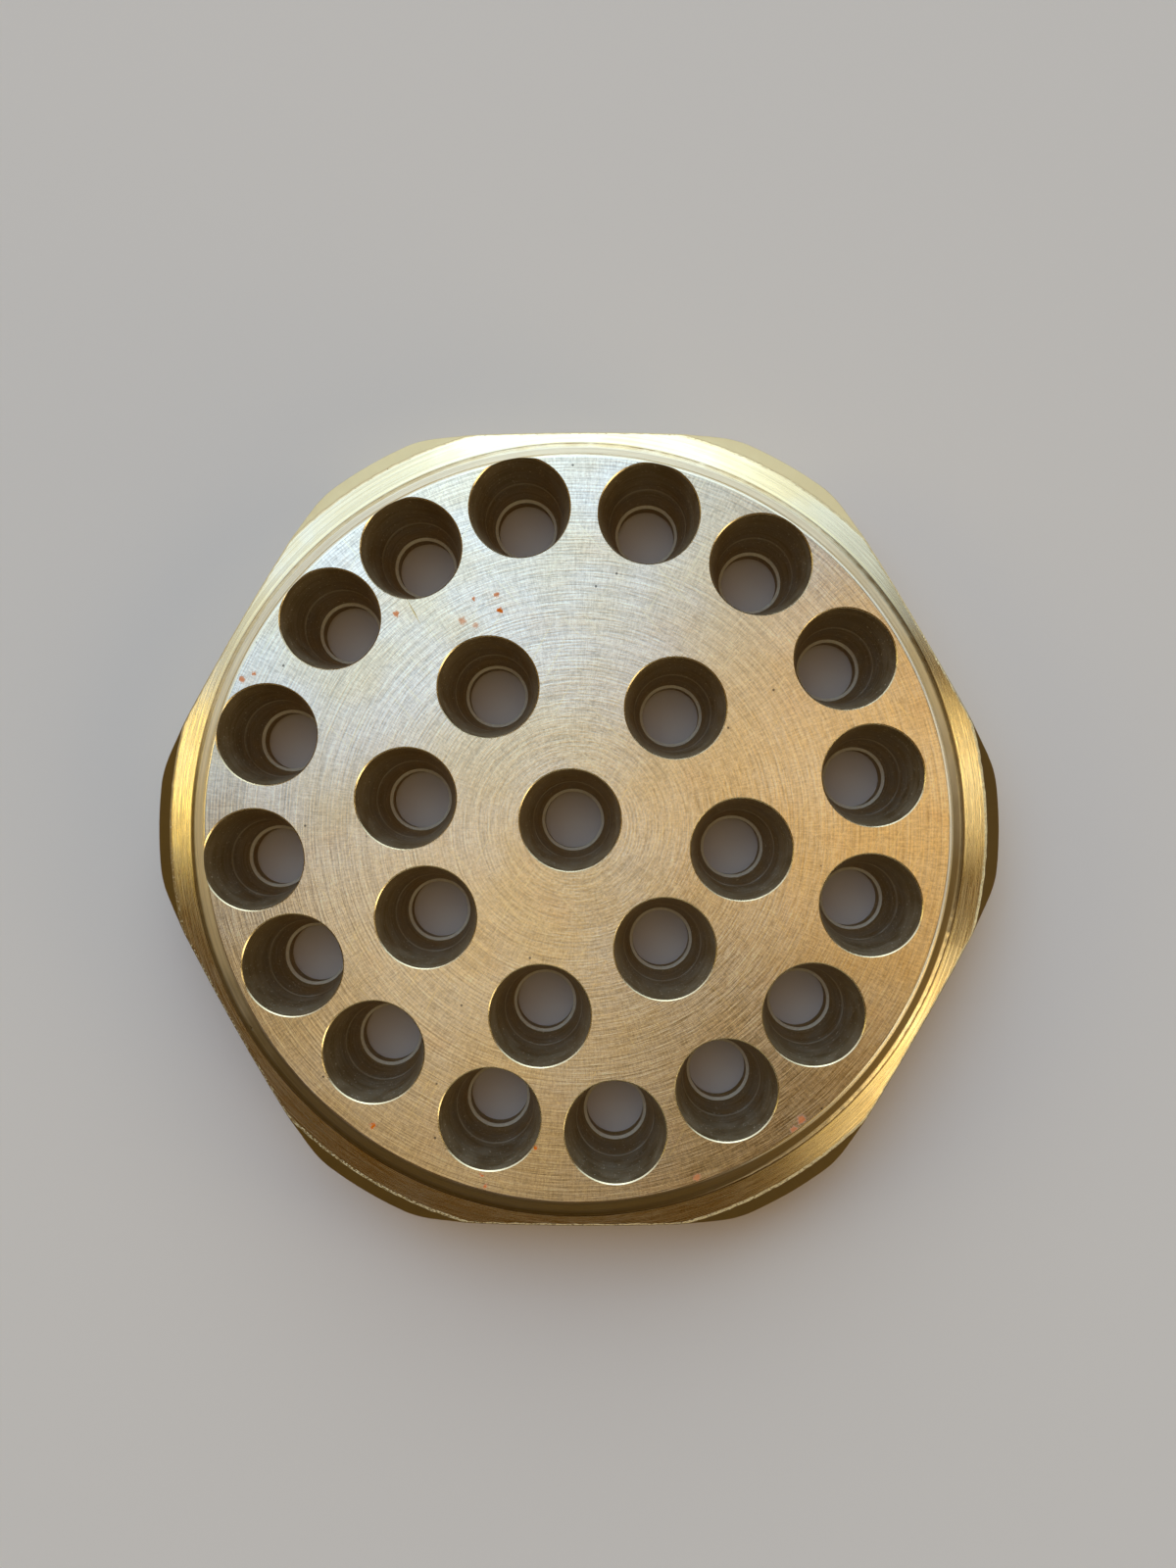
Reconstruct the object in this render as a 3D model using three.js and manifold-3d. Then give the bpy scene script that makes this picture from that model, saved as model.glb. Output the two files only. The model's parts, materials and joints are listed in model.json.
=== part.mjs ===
// A brass die plate: a round raised face on a six-sided flange, drilled with tapered through holes.
//
// Millimetres, +Z up. The origin is the middle of the underside, so the plate stands on Z = 0.
// Corners of the hexagon point along +X and -X, and two of its flats face +Y and -Y.

import * as THREE from 'three';
import { mergeVertices } from 'three/addons/utils/BufferGeometryUtils.js';
import Module from 'manifold-3d';

// ---------- driving dimensions ----------

const THICKNESS = 12.5;
const ACROSS_FLATS = 80;
const ACROSS_CORNERS = 86.4; // the hexagon's corners are turned off to this diameter
const FACE_DIAMETER = 73.6; // flat part of the raised face
const UNDERSIDE_CHAMFER = 0.6;

// The turned top, from the edge of the raised face out to the corners of the flange.
// Each step is how far the tool then moves out and down.
const TOP_STEPS = [
  { name: 'edge break', out: 0.4, down: 0.35 },
  { name: 'wall of the raised face', out: 0.9, down: 1.25 },
  { name: 'foot of the wall', out: 0.55, down: 0.4 },
  { name: 'small sharp step', out: 0.1, down: 0.25 },
  { name: 'sloping flange', out: 2.55, down: 1.15 },
];

// One hole, from the top face down: a tapered inlet, a small shoulder, then a straight outlet.
const INLET_DIAMETER = 10;
const TAPER_END_DIAMETER = 6.6;
const OUTLET_DIAMETER = 6;
const OUTLET_LENGTH = 1.9;
const SHOULDER_HEIGHT = 0.2;

// The holes were marked out by hand, so each one strays a little from an even pattern.
// Every pair is [distance from the pattern's centre, angle from +X in degrees].
const PATTERN_CENTRE = { x: -0.7, y: 1.1 };
const OUTER_HOLES = [
  [30.3, 7.5], [31.4, 29.5], [31.3, 52.5], [31, 75], [31, 99], [30.8, 120.5], [30.7, 140.5], [31, 165],
  [31.5, 188], [31, 208.5], [30.2, 230.5], [30.8, 255.5], [31.4, 278.5], [31.1, 300], [31, 321], [31, 343.5],
];
const INNER_HOLES = [
  [15, 45], [15, 122], [16.2, 174], [17.3, 215.5], [19.9, 262], [16.2, 306], [17.4, 349],
];
const CENTRE_HOLE = [0.5, 292];

// Facets round the plate and round each hole, and how far a cutting tool runs past a face.
const PLATE_FACETS = 96;
const HOLE_FACETS = 20;
const OVERRUN = 1;

// ---------- solids ----------

const wasm = await Module();
wasm.setup();

/** A closed three.js geometry as a solid that can be joined and cut. */
function toSolid(geometry) {
  const bare = geometry.clone();
  bare.deleteAttribute('normal');
  bare.deleteAttribute('uv');
  const welded = mergeVertices(bare);
  return new wasm.Manifold(new wasm.Mesh({
    numProp: 3,
    vertProperties: new Float32Array(welded.attributes.position.array),
    triVerts: new Uint32Array(welded.index.array),
  }));
}

/** A solid back as a three.js geometry. */
function toGeometry(solid) {
  const mesh = solid.getMesh();
  const geometry = new THREE.BufferGeometry();
  geometry.setAttribute('position', new THREE.BufferAttribute(mesh.vertProperties, 3));
  geometry.setIndex(new THREE.BufferAttribute(mesh.triVerts, 1));
  geometry.computeVertexNormals();
  return geometry;
}

/** A solid turned about Z from [radius, height] pairs that run upwards, outside the axis. */
function turned(outline, facets) {
  const closed = [[0, outline[0][1]], ...outline, [0, outline.at(-1)[1]]];
  const points = closed.map(([radius, height]) => new THREE.Vector2(radius, height));
  return toSolid(new THREE.LatheGeometry(points, facets).rotateX(Math.PI / 2));
}

/** The outline of the blank before the flats are cut, from the underside up. */
function blankOutline() {
  const cornerRadius = ACROSS_CORNERS / 2;
  const top = [[FACE_DIAMETER / 2, THICKNESS]];
  for (const step of TOP_STEPS) {
    const [radius, height] = top.at(-1);
    top.push([radius + step.out, height - step.down]);
  }
  const [flangeRadius, flangeHeight] = top.at(-1);
  const bevel = cornerRadius - flangeRadius; // 45 degrees, so it drops as far as it runs out
  top.push([cornerRadius, flangeHeight - bevel]);
  return [
    [cornerRadius - UNDERSIDE_CHAMFER, 0],
    [cornerRadius, UNDERSIDE_CHAMFER],
    ...top.reverse(),
  ];
}

/** The six flats that a spanner holds. */
function hexagonalBar() {
  const cornerRadius = ACROSS_FLATS / 2 / Math.cos(Math.PI / 6);
  const length = THICKNESS + 2 * OVERRUN;
  const bar = new THREE.CylinderGeometry(cornerRadius, cornerRadius, length, 6, 1, false, Math.PI / 6);
  return toSolid(bar.rotateX(Math.PI / 2).translate(0, 0, THICKNESS / 2));
}

/** The space of one hole, centred on Z, with the taper carried on past the top face. */
function holeCutter() {
  const taperFoot = OUTLET_LENGTH + SHOULDER_HEIGHT;
  const taperEnd = TAPER_END_DIAMETER / 2;
  const inlet = INLET_DIAMETER / 2;
  const widening = (inlet - taperEnd) / (THICKNESS - taperFoot);
  return turned([
    [OUTLET_DIAMETER / 2, -OVERRUN],
    [OUTLET_DIAMETER / 2, OUTLET_LENGTH],
    [taperEnd, taperFoot],
    [inlet + widening * OVERRUN, THICKNESS + OVERRUN],
  ], HOLE_FACETS);
}

/** Where each hole's axis crosses the plate. */
function holePlaces() {
  return [...OUTER_HOLES, ...INNER_HOLES, CENTRE_HOLE].map(([distance, degrees]) => {
    const angle = THREE.MathUtils.degToRad(degrees);
    return {
      x: PATTERN_CENTRE.x + distance * Math.cos(angle),
      y: PATTERN_CENTRE.y + distance * Math.sin(angle),
    };
  });
}

// ---------- the one piece ----------

/** The plate is cut from a single bar: turned, given its flats, then drilled. */
function diePlate() {
  const cutter = holeCutter();
  let plate = turned(blankOutline(), PLATE_FACETS).intersect(hexagonalBar());
  for (const place of holePlaces()) {
    plate = plate.subtract(cutter.translate([place.x, place.y, 0]));
  }
  const brass = new THREE.MeshStandardMaterial({ color: 0xc9a66b, roughness: 0.38, metalness: 1 });
  const mesh = new THREE.Mesh(toGeometry(plate), brass);
  mesh.name = 'die_plate';
  return mesh;
}

const model = new THREE.Group();
model.name = 'brass_die_plate';
model.add(diePlate());

export default model;
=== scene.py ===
"""The looks of a brass die plate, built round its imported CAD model.

The plate is one piece of metal: a round turned face on a six-sided flange, with tapered holes right
through. So it is one mesh. The turned surfaces and the spanner flats are a grid wrapped round Z, and the
holes and the small marks of use are cut out of it. Lengths are in metres, and MM turns millimetres into
them. Inside a material the lengths are in millimetres. An azimuth is in degrees from +X towards +Y.
"""

import json
import math

import bpy
import numpy as np
from mathutils import Matrix, Vector


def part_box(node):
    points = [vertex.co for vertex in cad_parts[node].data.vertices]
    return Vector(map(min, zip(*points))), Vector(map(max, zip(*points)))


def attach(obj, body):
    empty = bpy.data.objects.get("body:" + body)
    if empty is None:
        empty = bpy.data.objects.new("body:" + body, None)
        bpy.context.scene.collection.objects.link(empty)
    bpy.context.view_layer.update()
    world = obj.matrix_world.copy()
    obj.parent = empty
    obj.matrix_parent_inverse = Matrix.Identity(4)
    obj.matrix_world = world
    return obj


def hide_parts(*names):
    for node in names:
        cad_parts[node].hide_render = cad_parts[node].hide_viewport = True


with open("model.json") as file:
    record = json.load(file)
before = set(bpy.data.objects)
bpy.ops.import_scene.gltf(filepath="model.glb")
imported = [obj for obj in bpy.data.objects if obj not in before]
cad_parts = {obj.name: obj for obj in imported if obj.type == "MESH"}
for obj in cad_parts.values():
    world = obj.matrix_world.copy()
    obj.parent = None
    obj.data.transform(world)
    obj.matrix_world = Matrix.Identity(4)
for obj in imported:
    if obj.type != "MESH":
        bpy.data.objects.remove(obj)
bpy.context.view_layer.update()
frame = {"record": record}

# ---------- driving dimensions ----------

MM = 0.001
NODE = "die_plate"
SEED = 24

_, plate_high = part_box(NODE)
THICKNESS = plate_high.z
CORNER_RADIUS = plate_high.x
FLAT_DISTANCE = plate_high.y

# The turned top, as (radius, drop below the face, rounding), from the face out to the flange.
FACE_EDGE = (36.8 * MM, 0.0, 0.12 * MM)
BREAK_END = (37.2 * MM, 0.35 * MM, 0.18 * MM)
WALL_FOOT = (38.1 * MM, 1.6 * MM, 0.12 * MM)
STEP_TOP = (38.65 * MM, 2.0 * MM, 0.04 * MM)
STEP_FOOT = (38.75 * MM, 2.25 * MM, 0.04 * MM)
FLANGE_END = (41.3 * MM, 3.4 * MM, 0.2 * MM)
BEVEL_SLOPE = 1.0  # drop for each unit outwards
BEVEL_LEAST = 0.16 * MM  # width of the edge break where the flats leave no bevel
BEVEL_ROUNDING = 0.25 * MM
UNDERSIDE_CHAMFER = 0.6 * MM
UNDERSIDE_EDGE = 0.15 * MM
CORNER_BLEND = 0.7 * MM  # how softly a flat runs into the turned corner
FLANGE_BLEND = CORNER_BLEND / 3
CAP_RADIUS = 0.98 * FACE_EDGE[0]  # the flat caps that close the blank above and below
BURR = 0.03 * MM  # the spread of a ragged edge, before it is smoothed

# One hole.
OUTLET_RADIUS = 3.0 * MM
OUTLET_LENGTH = 1.9 * MM
SHOULDER_HEIGHT = 0.2 * MM
TAPER_FOOT_RADIUS = 3.3 * MM
MOUTH_RADIUS = 5.0 * MM
MOUTH_BREAK = 0.13 * MM
OUTLET_BREAK = 0.12 * MM
SHOULDER_ROUNDING = 0.04 * MM
TOOL_RING_DROP = 6.4 * MM  # the deepest ring that the reamer left, below the face
TOOL_RING_DEPTH = 0.06 * MM
TOOL_RING_HALF_HEIGHT = 0.2 * MM

PLATE_STEPS = 1080  # round the blank
HOLE_STEPS = 96  # round each hole
CORNER_STEPS = 4  # round each rounded corner of an outline
MOST_ROUNDED = 0.42  # the share of an outline's side that the rounding of a corner may take
OVERRUN = 1.0 * MM  # how far a hole's cutter stands out of the plate


def hole_centres():
    """Each hole's axis, from the middle of the opening that the record states for it."""
    boxes = [np.array(o["box_m"]) for o in frame["record"]["physics"]["openings"]]
    return [box.mean(axis=0)[:2] for box in boxes]


HOLE_CENTRES = hole_centres()

# ---------- mesh tools ----------


def rounded(outline, roundings):
    """Rounds all corners but the first and the last, in many outlines at once.

    outline is an array of (outlines, corners, 2), and each corner becomes a short curve.
    """
    pieces = [outline[:, :1]]
    for k, rounding in enumerate(roundings, start=1):
        corner = outline[:, k]
        back = outline[:, k - 1] - corner
        ahead = outline[:, k + 1] - corner
        back_length = np.linalg.norm(back, axis=1, keepdims=True)
        ahead_length = np.linalg.norm(ahead, axis=1, keepdims=True)
        reach = np.minimum(rounding, MOST_ROUNDED * np.minimum(back_length, ahead_length))
        start = corner + back / back_length * reach
        end = corner + ahead / ahead_length * reach
        for t in np.linspace(0, 1, CORNER_STEPS + 1):
            point = (1 - t) ** 2 * start + 2 * t * (1 - t) * corner + t**2 * end
            pieces.append(point[:, None])
    pieces.append(outline[:, -1:])
    return np.concatenate(pieces, axis=1)


def wrapped(name, outlines, centre=(0.0, 0.0)):
    """A closed mesh from one outline for each angle round Z, from the top cap down to the bottom cap."""
    steps, rings, _ = outlines.shape
    angles = np.arange(steps) * 2 * math.pi / steps
    x = outlines[:, :, 0] * np.cos(angles)[:, None] + centre[0]
    y = outlines[:, :, 0] * np.sin(angles)[:, None] + centre[1]
    vertices = np.stack([x, y, outlines[:, :, 1]], axis=2).reshape(-1, 3)
    faces = [[s * rings for s in range(steps)]]
    for s in range(steps):
        here, there = s * rings, (s + 1) % steps * rings
        faces += [[here + k, here + k + 1, there + k + 1, there + k] for k in range(rings - 1)]
    faces.append([s * rings + rings - 1 for s in reversed(range(steps))])
    mesh = bpy.data.meshes.new(name)
    mesh.from_pydata(vertices.tolist(), [], faces)
    mesh.validate()
    return mesh


def new_object(name, mesh):
    """An object of the scene that shows the mesh."""
    piece = bpy.data.objects.new(name, mesh)
    bpy.context.scene.collection.objects.link(piece)
    return piece


def joined(name, meshes):
    """Several closed meshes as one object, to cut with."""
    vertices, faces = [], []
    for mesh in meshes:
        first = len(vertices)
        vertices += [v.co[:] for v in mesh.vertices]
        faces += [[first + i for i in p.vertices] for p in mesh.polygons]
        bpy.data.meshes.remove(mesh)
    mesh = bpy.data.meshes.new(name)
    mesh.from_pydata(vertices, [], faces)
    return new_object(name, mesh)


def cut(piece, cutter):
    """Takes the cutter's solids out of the piece and deletes the cutter."""
    modifier = piece.modifiers.new("cut", "BOOLEAN")
    modifier.operation = "DIFFERENCE"
    modifier.solver = "EXACT"
    modifier.object = cutter
    graph = bpy.context.evaluated_depsgraph_get()
    mesh = bpy.data.meshes.new_from_object(piece.evaluated_get(graph))
    piece.modifiers.clear()
    piece.data = mesh
    bpy.data.objects.remove(cutter)


# ---------- the blank ----------


def soft_least(a, b, blend):
    """The smaller of two values, with the change from one to the other smoothed."""
    near = np.maximum(blend - np.abs(a - b), 0) / blend
    return np.minimum(a, b) - near**2 * blend / 4


def side_radius(angles):
    """How far out the side is at each angle: six flats and six turned corners."""
    sixth = math.pi / 3
    from_flat = (angles % sixth) - sixth / 2
    return soft_least(FLAT_DISTANCE / np.cos(from_flat), CORNER_RADIUS, CORNER_BLEND)


def burr(random, size):
    """A little raggedness along a turned edge, one value for each angle."""
    raw = random.normal(0, size, PLATE_STEPS)
    return 0.5 * raw + 0.25 * np.roll(raw, 1) + 0.25 * np.roll(raw, -1)


def blank_mesh():
    """The turned blank with its six flats, before it is drilled."""
    random = np.random.default_rng(SEED)
    angles = np.arange(PLATE_STEPS) * 2 * math.pi / PLATE_STEPS
    side = side_radius(angles)
    level = np.ones(PLATE_STEPS)

    def turned(corner, ragged=0.0):
        """A corner of the outline that is the same all the way round, apart from its raggedness."""
        return np.stack([corner[0] * level + ragged, (THICKNESS - corner[1]) * level], axis=1)

    slope = (FLANGE_END[1] - STEP_FOOT[1]) / (FLANGE_END[0] - STEP_FOOT[0])
    flange_end = soft_least(FLANGE_END[0] * level, side - BEVEL_LEAST, FLANGE_BLEND)
    flange_end += burr(random, BURR)
    flange_height = THICKNESS - STEP_FOOT[1] - (flange_end - STEP_FOOT[0]) * slope
    bevel_height = flange_height - (side - flange_end) * BEVEL_SLOPE
    foot = np.minimum(side - UNDERSIDE_EDGE, CORNER_RADIUS - UNDERSIDE_CHAMFER)
    outline = [
        turned((CAP_RADIUS, 0.0)),
        turned(FACE_EDGE),
        turned(BREAK_END),
        turned(WALL_FOOT),
        turned(STEP_TOP, burr(random, BURR)),
        turned(STEP_FOOT),
        np.stack([flange_end, flange_height], axis=1),
        np.stack([side, bevel_height], axis=1),
        np.stack([side, side - foot], axis=1),
        np.stack([foot, 0 * level], axis=1),
        turned((CAP_RADIUS, THICKNESS)),
    ]
    roundings = [
        FACE_EDGE[2],
        BREAK_END[2],
        WALL_FOOT[2],
        STEP_TOP[2],
        STEP_FOOT[2],
        FLANGE_END[2],
        BEVEL_ROUNDING,
        UNDERSIDE_EDGE / 2,
        UNDERSIDE_EDGE / 2,
    ]
    return wrapped(NODE + "_finished", rounded(np.stack(outline, axis=1), roundings))


# ---------- the holes and the marks of use ----------


def hole_mesh(centre):
    """The space of one hole: broken mouth, taper with the reamer's deepest ring, shoulder and outlet."""
    taper_top = THICKNESS - MOUTH_BREAK
    taper_foot = OUTLET_LENGTH + SHOULDER_HEIGHT
    widening = (MOUTH_RADIUS - TAPER_FOOT_RADIUS) / (taper_top - taper_foot)
    ring = THICKNESS - TOOL_RING_DROP
    outline = [
        (MOUTH_RADIUS + MOUTH_BREAK + OVERRUN, THICKNESS + OVERRUN),
        (MOUTH_RADIUS, taper_top),
    ]
    for offset, depth in ((1, 0), (0, TOOL_RING_DEPTH), (-1, 0)):
        height = ring + offset * TOOL_RING_HALF_HEIGHT
        outline.append((TAPER_FOOT_RADIUS + (height - taper_foot) * widening + depth, height))
    outline += [
        (TAPER_FOOT_RADIUS, taper_foot),
        (OUTLET_RADIUS, OUTLET_LENGTH),
        (OUTLET_RADIUS, OUTLET_BREAK),
        (OUTLET_RADIUS + OUTLET_BREAK + OVERRUN, -OVERRUN),
    ]
    roundings = [
        MOUTH_BREAK / 3,
        TOOL_RING_HALF_HEIGHT / 3,
        TOOL_RING_HALF_HEIGHT / 3,
        TOOL_RING_HALF_HEIGHT / 3,
        SHOULDER_ROUNDING,
        SHOULDER_ROUNDING,
        OUTLET_BREAK / 3,
    ]
    one = rounded(np.array([outline]), roundings)
    return wrapped("hole", np.repeat(one, HOLE_STEPS, axis=0), centre)


def drill(plate):
    """Cuts all the holes at once."""
    cut(plate, joined("holes", [hole_mesh(centre) for centre in HOLE_CENTRES]))


# Dents as (centre, azimuth of the length, length, width, depth), with lengths in mm.
DENTS = [
    ((-16.05, 21.3, 12.5), -61, 3.1, 0.17, 0.06),
    ((-19.1, 36.1, 9.1), 118, 1.5, 0.35, 0.12),
    ((-32.4, -20.2, 10.9), 120, 0.9, 0.6, 0.2),
    ((-29.7, -24.9, 10.4), 130, 0.6, 0.4, 0.15),
]


def dent_mesh(centre, azimuth, length, width, depth):
    """A long diamond to press into the surface."""
    turn = math.radians(azimuth)
    along = Vector((math.cos(turn), math.sin(turn), 0)) * length / 2
    across = Vector((-math.sin(turn), math.cos(turn), 0)) * width / 2
    down = Vector((0, 0, depth))
    middle = Vector(centre)
    corners = [middle + v for v in (along, across, -along, -across, down, -down)]
    faces = [(k, (k + 1) % 4, 4) for k in range(4)] + [((k + 1) % 4, k, 5) for k in range(4)]
    mesh = bpy.data.meshes.new("dent")
    mesh.from_pydata([MM * v for v in corners], [], faces)
    return mesh


def dent(plate):
    """Presses all the dents in at once."""
    cut(plate, joined("dents", [dent_mesh(*d) for d in DENTS]))


# ---------- colours and where they are on the plate ----------

BRASS = (0.83, 0.68, 0.39, 1)
PALE_BRASS = (0.86, 0.76, 0.53, 1)
SIDE_BRASS = (0.40, 0.28, 0.12, 1)
BORE_BRASS = (0.46, 0.35, 0.19, 1)
# Bright brass: clean brass for the bore's specks and the shoulder, and painted light on the rim's wall
# and the face's edge.
CLEAN_AND_LIT_BRASS = (1.0, 0.92, 0.70, 1)
# Bright brass: rubbed brass for the scratches and the lip, and painted light and painted glints on the
# lit bevels and the flange's edge.
RUBBED_AND_LIT_BRASS = (1.0, 0.86, 0.48, 1)
STAINED_BRASS = (0.78, 0.55, 0.28, 1)
DULL_BRASS = (0.36, 0.26, 0.12, 1)
# Painted shade on the corner bevels.
BEVEL_SHADE = (0.13, 0.085, 0.04, 1)
# Painted shade in the wall, the step and the foot of the wall round the face.
PAINTED_SHADE = (0.16, 0.10, 0.03, 1)
DUST = (0.26, 0.23, 0.19, 1)
PIT = (0.05, 0.04, 0.03, 1)
PAINT = (0.80, 0.16, 0.0, 1)
GRAZING_TINT = (0.8, 0.6, 0.35, 1)  # tints what the metal mirrors at a glancing angle
GRAZING_LEVEL = 0.2  # how strongly whatever isn't metal mirrors

SHADE_AZIMUTH = 285  # the side where the wall and the step round the face are painted darkest in shade, with the wall opposite painted lit
# where the painted shade round the rim is deepest, and the face's edge has no painted highlight
DEEPEST_SHADE_AZIMUTH = 240
FOOT_SHADE_AZIMUTH = 225  # where the foot of the wall is painted dark in shade over a long stretch
SHORT_FOOT_SHADE_AZIMUTH = 15  # where it is painted dark in shade over a short one
# where the painted glints on the flange's edge are most
BRIGHTEST_GLINT_AZIMUTH = 305
# the side whose corner bevels are painted light; the others are painted in shade
LIT_BEVEL_AZIMUTH = 90


def millimetres(radius, *offsets):
    """Radii in mm, each as far from one of the blank's radii as its offset says."""
    return tuple(radius / MM + offset for offset in offsets)


# Bands round the rim, as the radii in mm where each starts, is full, starts to fade and ends.
EDGE_BAND = millimetres(FACE_EDGE[0], -0.08, 0.0, 0.13, 0.25)  # the face's outer edge, painted as a highlight
FOOT_BAND = millimetres(WALL_FOOT[0], 0.0, 0.4, 0.58, 0.66)  # from the foot of the wall to the step, painted in shade along two stretches
STEP_BAND = millimetres(STEP_TOP[0], 0.01, 0.07, 0.19, 0.29)  # the step, painted dark in shade
LIP_BAND = millimetres(STEP_FOOT[0], 0.19, 0.25, 0.31, 0.45)  # the flange just outside the step

# The wall round the face, in mm, and how much further it spreads each way where the painted shade is
# deepest.
WALL_START = BREAK_END[0] / MM - 0.1
WALL_START_FADE = 0.2
WALL_START_SPREAD = 0.4
WALL_END = WALL_FOOT[0] / MM
WALL_END_FADE = 0.25
WALL_END_SPREAD = 0.5

# Specks of orange-red paint on the face, as (x, y, radius, strength) with lengths in mm.
SPECKS = [
    (-17.8, 21.1, 0.32, 0.75),
    (-10.1, 22.6, 0.22, 0.8),
    (-7.9, 23.0, 0.28, 0.75),
    (-7.5, 21.4, 0.34, 1.0),
    (-11.2, 20.4, 0.4, 0.5),
    (-9.9, 19.9, 0.3, 0.4),
    (-33.1, 14.6, 0.35, 0.75),
    (-31.9, 15.2, 0.25, 0.8),
    (-19.9, -29.4, 0.3, 1.0),
    (-4.0, -31.4, 0.3, 1.0),
    (-9.2, -34.2, 0.22, 0.9),
    (-8.8, -35.3, 0.25, 0.9),
    (22.1, -28.6, 0.5, 0.8),
    (21.5, -29.7, 0.45, 0.75),
    (11.9, -34.3, 0.4, 0.7),
]
SPECK_WOBBLE = 0.7  # how far noise moves a speck's outline, in mm
SPECK_CORE = 0.5  # where a speck starts to fade, as a share of its radius
SPECK_END = 1.2  # where it ends

# Marks of the tools. A frequency is in noise cells for each mm.
TURNING_RADIUS = 30  # mm, where a turning mark is as long as it says
TURNING_ROUGHNESS = 0.55
FEED_WANDER = 12.0  # radians
SCRATCH_FREQUENCY_ALONG = 0.12
SCRATCH_FREQUENCY_ACROSS = 3.5
SCRATCH_AZIMUTHS = (62, 131)
DRAWN_LINES = 260  # noise cells for each radian round the side
DRAWN_FREQUENCY_ALONG = 0.05
REAMED_FREQUENCIES = (0.2, 0.2, 2.2)
QUARTER_TURN = 0.25  # from along the turning marks to across them

# ---------- materials ----------


def direction(azimuth, elevation):
    a, e = math.radians(azimuth), math.radians(elevation)
    return Vector((math.cos(a) * math.cos(e), math.sin(a) * math.cos(e), math.sin(e)))


class Finish:
    """One material, with short ways to add nodes and join them. Vectors inside it are in millimetres."""

    def __init__(self, name):
        self.material = bpy.data.materials.new(name)
        self.material.use_nodes = True
        self.tree = self.material.node_tree
        self.tree.nodes.clear()
        metres = self.add("TexCoord", output="Object")
        self.point = self.vector("SCALE", metres, Scale=1 / MM)
        flat = self.vector("MULTIPLY", self.point, (1, 1, 0))
        self.radius = self.vector("LENGTH", flat, output="Value")
        self.outwards = self.vector("NORMALIZE", flat)
        self.height = self.add("SeparateXYZ", {0: self.point}, output="Z")

    def add(self, kind, inputs=None, output=0, **settings):
        """A new node's output. Each input is a value or another node's output."""
        node = self.tree.nodes.new("ShaderNode" + kind)
        for key, value in settings.items():
            setattr(node, key, value)
        for key, value in (inputs or {}).items():
            if isinstance(value, bpy.types.NodeSocket):
                self.tree.links.new(value, node.inputs[key])
            else:
                node.inputs[key].default_value = value
        return node.outputs[output]

    def number(self, operation, a, b=0.0, c=0.0):
        return self.add("Math", {0: a, 1: b, 2: c}, operation=operation)

    def vector(self, operation, a, b=(0, 0, 0), output="Vector", **inputs):
        return self.add("VectorMath", {0: a, 1: b, **inputs}, output=output, operation=operation)

    def product(self, a, b):
        return self.number("MULTIPLY", a, b)

    def total(self, start, *terms):
        """start plus each value times its weight, with the terms as (value, weight)."""
        for value, weight in terms:
            start = self.number("MULTIPLY_ADD", value, weight, start)
        return start

    def noise(self, where, scale, detail=2.0, roughness=0.5):
        inputs = {"Vector": where, "Scale": scale, "Detail": detail, "Roughness": roughness}
        return self.add("TexNoise", inputs)

    def step(self, value, low, high, to_low=0.0, to_high=1.0):
        """Goes smoothly from to_low to to_high as value goes from low to high."""
        inputs = {"Value": value, "From Min": low, "From Max": high, "To Min": to_low, "To Max": to_high}
        return self.add("MapRange", inputs, interpolation_type="SMOOTHSTEP")

    def band(self, start, full, fading, end):
        """1 where the radius is between full and fading, and 0 before start and after end."""
        return self.product(self.step(self.radius, start, full), self.step(self.radius, end, fading))

    def side(self, azimuth):
        """1 on the side of the plate at this azimuth, 0 a quarter of the way round and -1 opposite."""
        return self.vector("DOT_PRODUCT", self.outwards, direction(azimuth, 0), output="Value")

    def mix(self, share, a, b):
        return self.add("Mix", {0: share, 6: a, 7: b}, output=2, data_type="RGBA")

    def shaded(self, colour, *swings):
        """The colour made lighter and darker by each (noise, amount)."""
        centred = [(self.number("SUBTRACT", noise, 0.5), amount) for noise, amount in swings]
        return self.vector("SCALE", colour, Scale=self.total(1.0, *centred))

    def turning(self, arc, pitch, seed=0.0):
        """Noise drawn out in streaks along circles round Z, each about arc long and pitch wide, in mm."""
        round_z = self.vector("SCALE", self.outwards, Scale=TURNING_RADIUS / arc)
        across = self.number("MULTIPLY_ADD", self.radius, 1 / pitch, seed)
        lift = self.add("CombineXYZ", {"Z": across})
        where = self.vector("ADD", round_z, lift)
        streaks = self.noise(where, scale=1.0, detail=2.5, roughness=TURNING_ROUGHNESS)
        return self.step(streaks, 0.3, 0.7)

    def feed_marks(self, pitch):
        """The fine even spiral that a turning tool leaves, plain in some places and faint in others."""
        wander = self.product(self.noise(self.point, scale=0.12), FEED_WANDER)
        turns = self.number("MULTIPLY_ADD", self.radius, math.tau / pitch, wander)
        strength = self.step(self.noise(self.point, scale=0.1), 0.42, 0.6, to_low=0.05, to_high=0.32)
        return self.number("MULTIPLY_ADD", self.number("SINE", turns), strength, 0.5)

    def scratches(self, azimuth, seed):
        """Sparse fine straight scratches, all pointing the same way over the face."""
        ahead = SCRATCH_FREQUENCY_ALONG * direction(azimuth, 0)
        aside = SCRATCH_FREQUENCY_ACROSS * direction(azimuth + 90, 0)
        along = self.vector("DOT_PRODUCT", self.point, ahead, output="Value")
        across = self.vector("DOT_PRODUCT", self.point, aside, output="Value")
        where = self.add("CombineXYZ", {"X": along, "Y": across, "Z": seed})
        return self.step(self.noise(where, scale=1.0, detail=1), 0.66, 0.71)

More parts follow.
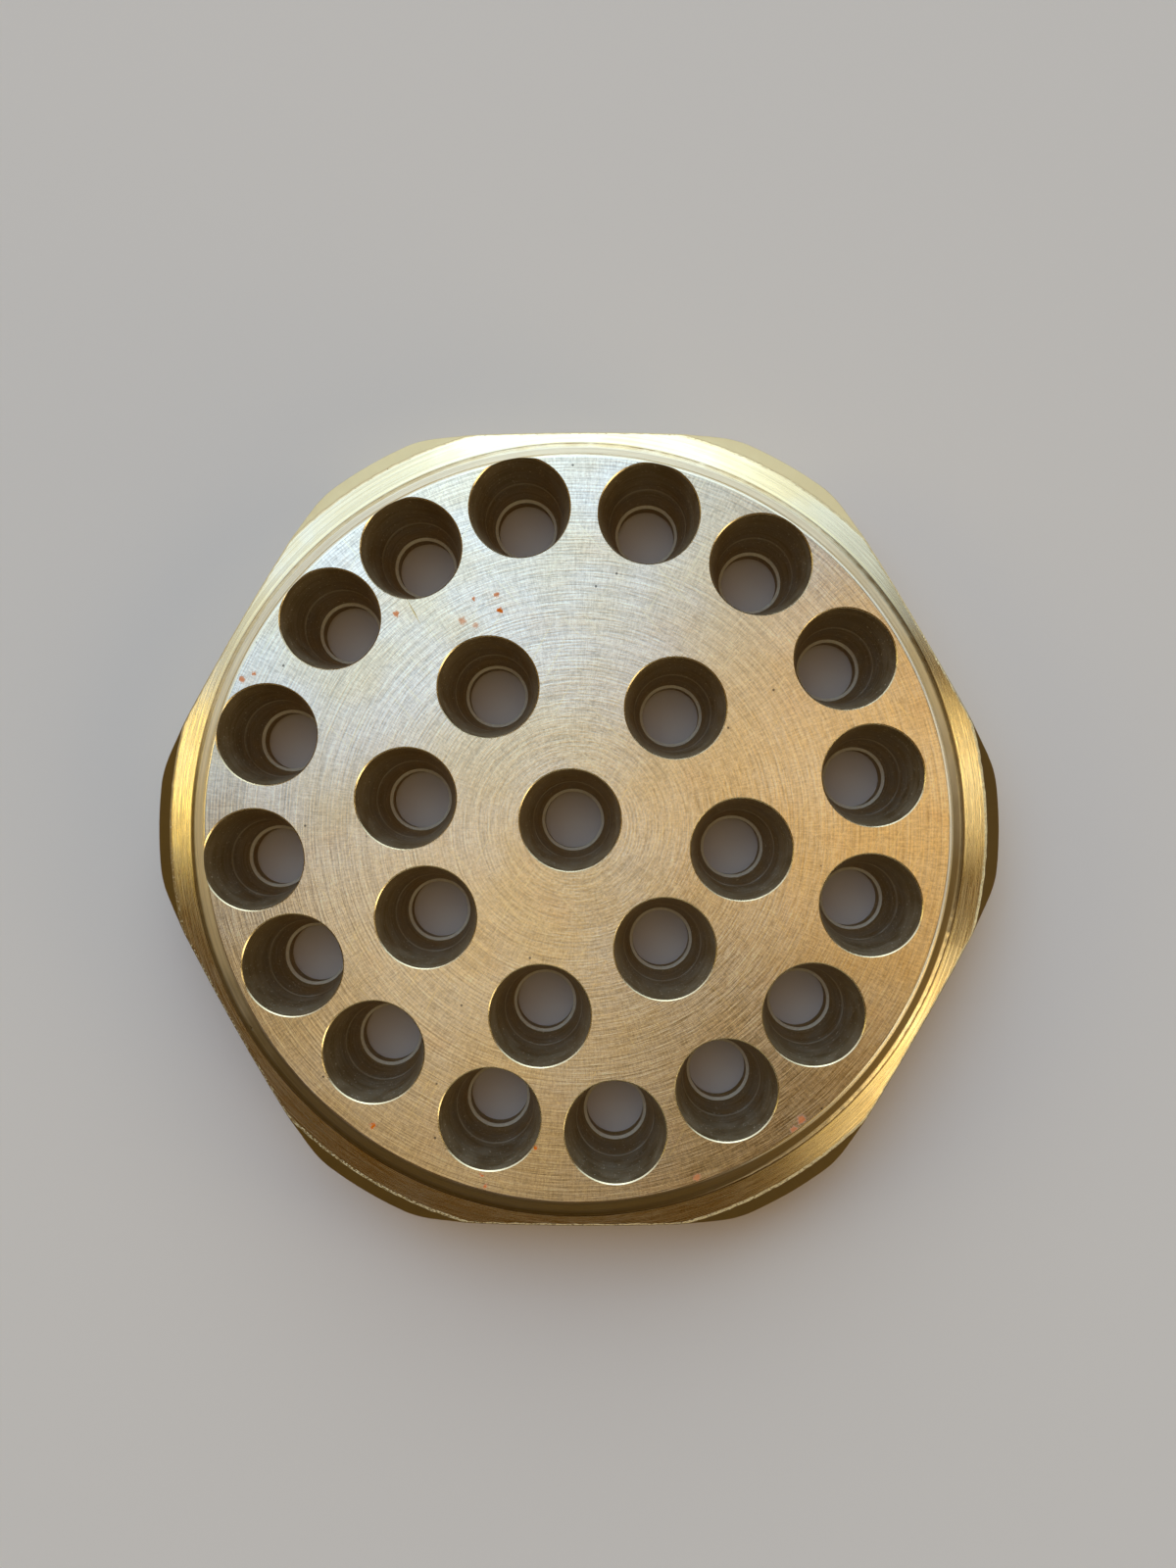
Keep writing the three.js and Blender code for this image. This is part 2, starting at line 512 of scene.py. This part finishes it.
    def finish(self, colour, roughness, height, depth, anisotropy=0.0, metallic=1.0):
        """Joins it all up as a metal. height is 0 to 1, and depth is how deep its relief is, in mm."""
        inputs = {
            "Base Color": colour,
            "Metallic": metallic,
            "Specular IOR Level": GRAZING_LEVEL,
            "Specular Tint": GRAZING_TINT,
            "Roughness": roughness,
            "Anisotropic": anisotropy,
            "Anisotropic Rotation": QUARTER_TURN if anisotropy else 0.0,
            "Tangent": self.add("Tangent", direction_type="RADIAL", axis="Z"),
            "Normal": self.add("Bump", {"Strength": 1.0, "Distance": depth * MM, "Height": height}),
        }
        shader = self.add("BsdfPrincipled", inputs)
        out = self.tree.nodes.new("ShaderNodeOutputMaterial")
        self.tree.links.new(shader, out.inputs["Surface"])
        return self.material


def paint_specks(f):
    """Where the paint is, with each speck's outline made uneven by noise."""
    wobble = f.add("TexNoise", {"Vector": f.point, "Scale": 3.0}, output="Color")
    there = f.vector("ADD", f.point, f.vector("SCALE", wobble, Scale=SPECK_WOBBLE))
    mean = Vector((1, 1, 1)) * SPECK_WOBBLE / 2
    paint = 0.0
    for x, y, size, strength in SPECKS:
        at = Vector((x, y, THICKNESS / MM)) + mean
        away = f.vector("DISTANCE", there, at, output="Value")
        speck = f.step(away, size * SPECK_CORE, size * SPECK_END, to_low=strength, to_high=0.0)
        paint = f.number("MAXIMUM", speck, paint)
    return paint


def pits(f):
    """Small dark pits, in some cells of a cell pattern and not in others."""
    away = f.add("TexVoronoi", {"Vector": f.point, "Scale": 0.45}, output="Distance")
    random = f.add("SeparateColor", {0: away.node.outputs["Color"]})
    some = f.step(random, 0.6, 0.8, to_high=0.8)
    middle = f.step(away, 0.035, 0.075, to_low=1.0, to_high=0.0)
    return f.product(middle, some)


def face_material():
    f = Finish("turned_face")
    rings = f.turning(arc=14, pitch=0.24)
    strokes = f.turning(arc=1.8, pitch=0.1, seed=40)
    across = f.turning(arc=0.16, pitch=1.3, seed=77)
    feed = f.feed_marks(pitch=0.34)
    grain = f.noise(f.point, scale=4.2)
    patches = f.step(f.noise(f.point, scale=0.09, detail=3), 0.35, 0.65)
    stains = f.step(f.noise(f.point, scale=0.16, detail=4, roughness=0.6), 0.5, 0.75, to_high=0.35)
    colour = f.mix(stains, f.mix(patches, BRASS, PALE_BRASS), STAINED_BRASS)
    colour = f.shaded(colour, (strokes, 0.22), (rings, 0.26), (across, 0.2), (grain, 0.6), (feed, 0.2))
    first, second = SCRATCH_AZIMUTHS
    scratches = f.number("MAXIMUM", f.scratches(first, seed=3), f.scratches(second, seed=9))
    colour = f.mix(f.product(scratches, 0.5), colour, RUBBED_AND_LIT_BRASS)
    paint = paint_specks(f)
    colour = f.mix(paint, colour, PAINT)
    colour = f.mix(pits(f), colour, PIT)
    return f.finish(
        colour,
        roughness=f.total(0.165, (strokes, 0.1)),
        height=f.total(0.0, (rings, 0.5), (strokes, 0.4), (across, 0.1), (feed, 0.3)),
        depth=0.007,
        anisotropy=0.4,
        metallic=f.number("SUBTRACT", 1.0, paint),
    )


def wall_mask(f, deepest_shaded_side):
    """Where the wall round the face is, with the break and the foot too where the painted shade is
    deepest.
    """
    deep = f.step(deepest_shaded_side, 0.3, 0.75)
    past_start = f.number("SUBTRACT", f.radius, f.total(WALL_START, (deep, -WALL_START_SPREAD)))
    past_end = f.number("SUBTRACT", f.radius, f.total(WALL_END, (deep, WALL_END_SPREAD)))
    return f.product(f.step(past_start, 0.0, WALL_START_FADE), f.step(past_end, WALL_END_FADE, 0.0))


def step_shade(f, shaded_side):
    """Painted shade: the dark line in the step, darker on the shaded side, and the two dark stretches
    along the foot of the wall.
    """
    line = f.step(shaded_side, -0.8, -0.3, to_low=0.3, to_high=0.85)
    long_stretch = f.step(f.side(FOOT_SHADE_AZIMUTH), 0.4, 0.7, to_high=0.9)
    short_stretch = f.step(f.side(SHORT_FOOT_SHADE_AZIMUTH), 0.8, 0.92, to_high=0.8)
    stretches = f.number("MAXIMUM", long_stretch, short_stretch)
    in_step = f.product(f.band(*STEP_BAND), line)
    in_foot = f.product(f.band(*FOOT_BAND), stretches)
    return f.number("MAXIMUM", in_step, in_foot)


def rim_material():
    f = Finish("turned_rim")
    rings = f.turning(arc=25, pitch=0.17, seed=7)
    strokes = f.turning(arc=3, pitch=0.07, seed=90)
    shaded_side = f.side(SHADE_AZIMUTH)
    deepest_shaded_side = f.side(DEEPEST_SHADE_AZIMUTH)
    on_wall = wall_mask(f, deepest_shaded_side)
    # Painted light on the wall away from the shaded side, and painted shade on the wall towards it.
    lit_side = f.step(shaded_side, -0.2, -0.7, to_high=0.9)
    uneven_side = f.total(shaded_side, (f.noise(f.point, scale=0.2, detail=3), 0.3))
    wall_shade = f.step(uneven_side, 0.0, 0.6, to_low=0.05, to_high=0.9)
    # A painted highlight along the face's outer edge, made less metal to catch light, and left out on the
    # most shaded side.
    edge_highlight = f.product(f.band(*EDGE_BAND), f.step(deepest_shaded_side, 0.5, 0.0))
    patches = f.step(f.noise(f.point, scale=0.12, detail=3), 0.4, 0.65)
    wall_roughness = f.step(on_wall, 0.0, 1.0, to_low=0.2, to_high=0.45)
    colour = f.mix(patches, BRASS, PALE_BRASS)
    colour = f.mix(f.product(on_wall, lit_side), colour, CLEAN_AND_LIT_BRASS)
    colour = f.mix(f.product(on_wall, wall_shade), colour, PAINTED_SHADE)
    # Painted shade in the step and along the foot of the wall.
    colour = f.mix(step_shade(f, shaded_side), colour, PAINTED_SHADE)
    colour = f.mix(f.product(f.band(*LIP_BAND), 0.6), colour, RUBBED_AND_LIT_BRASS)
    colour = f.mix(edge_highlight, colour, CLEAN_AND_LIT_BRASS)
    return f.finish(
        f.shaded(colour, (rings, 0.22)),
        roughness=f.total(wall_roughness, (strokes, 0.15)),
        height=f.total(0.0, (rings, 0.6), (strokes, 0.4)),
        depth=0.013,
        anisotropy=0.4,
        metallic=f.step(edge_highlight, 0.0, 1.0, to_low=1.0, to_high=0.4),
    )


def side_material():
    """The flats and corners, with marks up and down, and the corner bevels painted dark in shade, apart
    from two painted light.
    """
    f = Finish("drawn_side")
    round_z = f.vector("SCALE", f.outwards, Scale=DRAWN_LINES)
    along = f.vector("SCALE", f.point, Scale=DRAWN_FREQUENCY_ALONG)
    lines = f.noise(f.vector("ADD", round_z, along), scale=1.0, detail=3)
    patches = f.noise(f.point, scale=0.25, detail=4)
    colour = f.mix(f.step(patches, 0.35, 0.7), SIDE_BRASS, DULL_BRASS)
    colour = f.shaded(colour, (lines, 0.5))
    facing_up = f.add("SeparateXYZ", {0: f.add("TexCoord", output="Normal")}, output="Z")
    on_bevel = f.step(f.total(facing_up, (patches, 0.3)), 0.4, 0.75, to_high=0.9)
    # The two bevels near azimuth 90 are painted light and made less metal; the rest are painted in shade.
    lit_side = f.step(f.side(LIT_BEVEL_AZIMUTH), 0.2, 0.55)
    return f.finish(
        f.mix(on_bevel, colour, f.mix(lit_side, BEVEL_SHADE, RUBBED_AND_LIT_BRASS)),
        roughness=f.total(0.22, (patches, 0.25)),
        height=lines,
        depth=0.01,
        metallic=f.total(1.0, (f.product(on_bevel, lit_side), -0.5)),
    )


def bore_material():
    """Reamed brass under a thin film of dust, with the tool's deepest ring left bright."""
    f = Finish("reamed_bore")
    rings = f.noise(f.vector("MULTIPLY", f.point, REAMED_FREQUENCIES), scale=1.0, detail=3)
    film = f.step(f.noise(f.point, scale=0.5, detail=3), 0.3, 0.7, to_low=0.1, to_high=0.35)
    from_ring = f.number("SUBTRACT", f.height, (THICKNESS - TOOL_RING_DROP) / MM)
    on_ring = f.step(f.number("ABSOLUTE", from_ring), 0.3, 0.1, to_high=0.6)
    specks = f.step(f.noise(f.point, scale=4.5, detail=1), 0.68, 0.74)
    colour = f.mix(f.step(rings, 0.35, 0.6), DULL_BRASS, BORE_BRASS)
    colour = f.mix(film, colour, DUST)
    colour = f.mix(on_ring, colour, PALE_BRASS)
    colour = f.mix(f.product(specks, 0.8), colour, CLEAN_AND_LIT_BRASS)
    return f.finish(
        colour,
        roughness=f.total(0.32, (f.noise(f.point, scale=5.0), 0.2)),
        height=rings,
        depth=0.035,
        metallic=f.number("SUBTRACT", 1.0, film),
    )


def edge_material():
    f = Finish("broken_edge")
    grain = f.noise(f.point, scale=4.0)
    colour = f.mix(grain, BRASS, PALE_BRASS)
    return f.finish(colour, roughness=f.total(0.15, (grain, 0.2)), height=grain, depth=0.01)


def glint_edge_material():
    """The ragged edge of the flange, with painted glints in grains, most of them towards azimuth 305, and
    painted shade towards azimuth 240.
    """
    f = Finish("edge_painted_glints")
    grain = f.noise(f.point, scale=4.5, detail=3, roughness=0.7)
    # Painted glints: bright grains that are barely metal, so they look lit.
    painted_glints = f.step(f.total(grain, (f.side(BRIGHTEST_GLINT_AZIMUTH), 0.12)), 0.5, 0.58)
    # Painted shade on the side towards azimuth 240.
    colour = f.mix(f.step(f.side(DEEPEST_SHADE_AZIMUTH), 0.2, 0.7), BRASS, SIDE_BRASS)
    return f.finish(
        f.mix(painted_glints, colour, RUBBED_AND_LIT_BRASS),
        roughness=0.3,
        height=painted_glints,
        depth=0.06,
        metallic=f.step(painted_glints, 0.0, 1.0, to_low=1.0, to_high=0.05),
    )


def shoulder_material():
    f = Finish("shoulder")
    grain = f.noise(f.point, scale=4.0)
    colour = f.mix(grain, BRASS, CLEAN_AND_LIT_BRASS)
    return f.finish(colour, roughness=f.total(0.25, (grain, 0.2)), height=grain, depth=0.01, metallic=0.2)


def underside_material():
    f = Finish("faced_underside")
    rings = f.turning(arc=30, pitch=0.3, seed=300)
    strokes = f.turning(arc=4, pitch=0.15, seed=400)
    patches = f.step(f.noise(f.point, scale=0.12, detail=4), 0.35, 0.7)
    colour = f.mix(patches, BRASS, DULL_BRASS)
    return f.finish(
        f.shaded(colour, (rings, 0.5)),
        roughness=f.total(0.28, (strokes, 0.2)),
        height=rings,
        depth=0.012,
        anisotropy=0.5,
    )


# ---------- the finished plate ----------

# The finishes, each the place of its maker in the list.
FACE, RIM, SIDE, BORE, EDGE, GLINT_EDGE, SHOULDER, UNDERSIDE = range(8)
MAKERS = [
    face_material,
    rim_material,
    side_material,
    bore_material,
    edge_material,
    glint_edge_material,
    shoulder_material,
    underside_material,
]

# What tells one finish from another: how far up a polygon faces (the Z of its normal), and where it is.
LEVEL = 0.9999
RIM_LEAST_UP = 0.1
GLINT_EDGE_MOST_UP = 0.90
BEVEL_MOST_UP = 0.73
RIM_RADIUS = 0.99 * FACE_EDGE[0]
FLANGE_RADIUS = STEP_FOOT[0] + 0.1 * MM
HOLE_REACH = MOUTH_RADIUS + 2 * MOUTH_BREAK
MOUTH_EDGE_HEIGHT = THICKNESS - 1.1 * MOUTH_BREAK
SHOULDER_MARGIN = 0.05 * MM
CAP_MARGIN = 0.01 * MM

SHARP_ANGLE = math.radians(35)  # between two polygons, where shading shows an edge


def polygon_array(mesh, name):
    """One vector for each polygon, as an array."""
    values = np.empty(len(mesh.polygons) * 3)
    mesh.polygons.foreach_get(name, values)
    return values.reshape(-1, 3)


def zones(mesh):
    """Which finish each polygon has, from where it is and which way it faces, and which are level."""
    centre = polygon_array(mesh, "center")
    normal = polygon_array(mesh, "normal")
    height = centre[:, 2]
    radius = np.hypot(centre[:, 0], centre[:, 1])
    offsets = centre[:, None, :2] - np.array(HOLE_CENTRES)
    nearest = np.linalg.norm(offsets, axis=2).argmin(axis=1)
    offset = offsets[np.arange(len(centre)), nearest]
    off_axis = np.linalg.norm(offset, axis=1)
    faces_axis = (offset * normal[:, :2]).sum(axis=1) < 0
    up = normal[:, 2]
    level = np.abs(up) > LEVEL
    zone = np.full(len(centre), SIDE)
    turned_rim = (up > RIM_LEAST_UP) & (radius > RIM_RADIUS)
    on_flange = turned_rim & (radius > FLANGE_RADIUS)
    zone[turned_rim] = RIM
    # The flange's ragged edge, whose finish has painted glints.
    zone[on_flange & (up < GLINT_EDGE_MOST_UP)] = GLINT_EDGE
    zone[on_flange & (up < BEVEL_MOST_UP)] = SIDE
    in_hole = (off_axis < HOLE_REACH) & faces_axis & ~level
    above_outlet = height > OUTLET_LENGTH - SHOULDER_MARGIN
    below_taper = height < OUTLET_LENGTH + SHOULDER_HEIGHT + SHOULDER_MARGIN
    zone[in_hole] = BORE
    zone[in_hole & (height > MOUTH_EDGE_HEIGHT)] = EDGE
    zone[in_hole & above_outlet & below_taper] = SHOULDER
    zone[in_hole & (height < OUTLET_BREAK)] = EDGE
    zone[level & (height > THICKNESS - CAP_MARGIN)] = FACE
    zone[level & (height < CAP_MARGIN)] = UNDERSIDE
    return zone, level


def finish_plate():
    """Makes the plate, gives it its finishes, hangs it on the root body and hides the CAD part it stands
    for.
    """
    plate = new_object(NODE + "_finished", blank_mesh())
    drill(plate)
    dent(plate)
    mesh = plate.data
    mesh.name = plate.name
    for make in MAKERS:
        mesh.materials.append(make())
    zone, level = zones(mesh)
    mesh.polygons.foreach_set("material_index", zone)
    mesh.shade_smooth()
    mesh.set_sharp_from_angle(angle=SHARP_ANGLE)
    mesh.polygons.foreach_set("use_smooth", ~level)
    plate.modifiers.new("even shading", "WEIGHTED_NORMAL").keep_sharp = True
    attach(plate, "root")
    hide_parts(NODE)


# ---------- camera, lights and floor ----------

CAMERA_PLACE = Vector((3.3 * MM, 1.3 * MM, THICKNESS + 125 * MM))
CAMERA_TARGET = Vector((1.25 * MM, 4.2 * MM, THICKNESS))
PICTURE_TOP = Vector((0, 1, 0))
SENSOR_WIDTH = 36  # in mm, as Blender has it
FOCAL_LENGTH = 29.1  # in mm
CLIP_START = 5 * MM


def add_camera():
    """Nearly straight down, a hand's breadth above the face, with +Y towards the top of the picture."""
    data = bpy.data.cameras.new("camera")
    data.sensor_width = SENSOR_WIDTH
    data.lens = FOCAL_LENGTH
    data.clip_start = CLIP_START
    camera = bpy.data.objects.new("camera", data)
    bpy.context.scene.collection.objects.link(camera)
    back = (CAMERA_PLACE - CAMERA_TARGET).normalized()
    right = PICTURE_TOP.cross(back).normalized()
    turn = Matrix((right, back.cross(right), back)).transposed().to_4x4()
    camera.matrix_world = Matrix.Translation(CAMERA_PLACE) @ turn
    bpy.context.scene.camera = camera


ROOM = (0.09, 0.046, 0.008)  # the dim light that comes from everywhere
BACKDROP = (0.54, 0.49, 0.43, 1)
FLOOR = (0.80, 0.71, 0.58, 1)
FLOOR_ROUGHNESS = 0.8
FLOOR_REACH = 1.5  # from the middle to each side, in metres

# Soft glows in the surroundings, as (azimuth, elevation, inner and outer half width in degrees, colour).
GLOWS = [
    (112, 26, 26, 56, (0.86, 1.04, 1.24)),  # the window
    (72, 12, 22, 48, (0.80, 1.02, 1.20)),  # its far end, lower down
    (118, 56, 15, 36, (0.25, 0.65, 1.46)),  # the sky above it
    (120, 78, 14, 20, (0.40, 0.35, 0.27)),  # the ceiling, in three patches
    (2, 72, 3, 16, (0.80, 0.56, 0.30)),
    (237, 78, 2, 14, (0.50, 0.42, 0.32)),
    (173, 23, 4, 15, (2.5, 2.1, 0.95)),  # a lamp low down on the left
    (8, 25, 4, 14, (2.3, 1.9, 1.1)),  # one on the right
    (321, 22, 5, 21, (1.3, 1.02, 0.55)),  # one at the lower right
    (330, 2, 6, 18, (3.2, 2.6, 1.5)),  # with another glow under it
]


def add_world():
    """Soft light all round: a dim warm room with glows in it, behind a plain pale backdrop."""
    world = bpy.data.worlds.new("world")
    world.use_nodes = True
    nodes, links = world.node_tree.nodes, world.node_tree.links
    nodes.clear()
    where = nodes.new("ShaderNodeTexCoord").outputs["Generated"]
    total = None
    for azimuth, elevation, inner, outer, colour in GLOWS:
        towards = nodes.new("ShaderNodeVectorMath")
        towards.operation = "DOT_PRODUCT"
        towards.inputs[1].default_value = direction(azimuth, elevation)
        links.new(where, towards.inputs[0])
        share = nodes.new("ShaderNodeMapRange")
        share.interpolation_type = "SMOOTHSTEP"
        share.inputs["From Min"].default_value = math.cos(math.radians(outer))
        share.inputs["From Max"].default_value = math.cos(math.radians(inner))
        links.new(towards.outputs["Value"], share.inputs["Value"])
        glow = nodes.new("ShaderNodeVectorMath")
        glow.operation = "MULTIPLY_ADD"
        glow.inputs[1].default_value = colour
        links.new(share.outputs[0], glow.inputs[0])
        if total is None:
            glow.inputs[2].default_value = ROOM
        else:
            links.new(total, glow.inputs[2])
        total = glow.outputs[0]
    room = nodes.new("ShaderNodeBackground")
    links.new(total, room.inputs["Color"])
    backdrop = nodes.new("ShaderNodeBackground")
    backdrop.inputs["Color"].default_value = BACKDROP
    seen = nodes.new("ShaderNodeMixShader")
    links.new(nodes.new("ShaderNodeLightPath").outputs["Is Camera Ray"], seen.inputs[0])
    links.new(room.outputs[0], seen.inputs[1])
    links.new(backdrop.outputs[0], seen.inputs[2])
    out = nodes.new("ShaderNodeOutputWorld")
    links.new(seen.outputs[0], out.inputs["Surface"])
    bpy.context.scene.world = world


def add_floor():
    """A plain pale square under the plate."""
    mesh = bpy.data.meshes.new("floor")
    corners = [(FLOOR_REACH * x, FLOOR_REACH * y, 0) for x, y in ((-1, -1), (1, -1), (1, 1), (-1, 1))]
    mesh.from_pydata(corners, [], [(0, 1, 2, 3)])
    floor = new_object("floor", mesh)
    material = bpy.data.materials.new("floor")
    material.use_nodes = True
    shader = material.node_tree.nodes["Principled BSDF"]
    shader.inputs["Base Color"].default_value = FLOOR
    shader.inputs["Roughness"].default_value = FLOOR_ROUGHNESS
    floor.data.materials.append(material)


bpy.context.scene.view_settings.view_transform = "Standard"
finish_plate()
add_camera()
add_world()
add_floor()
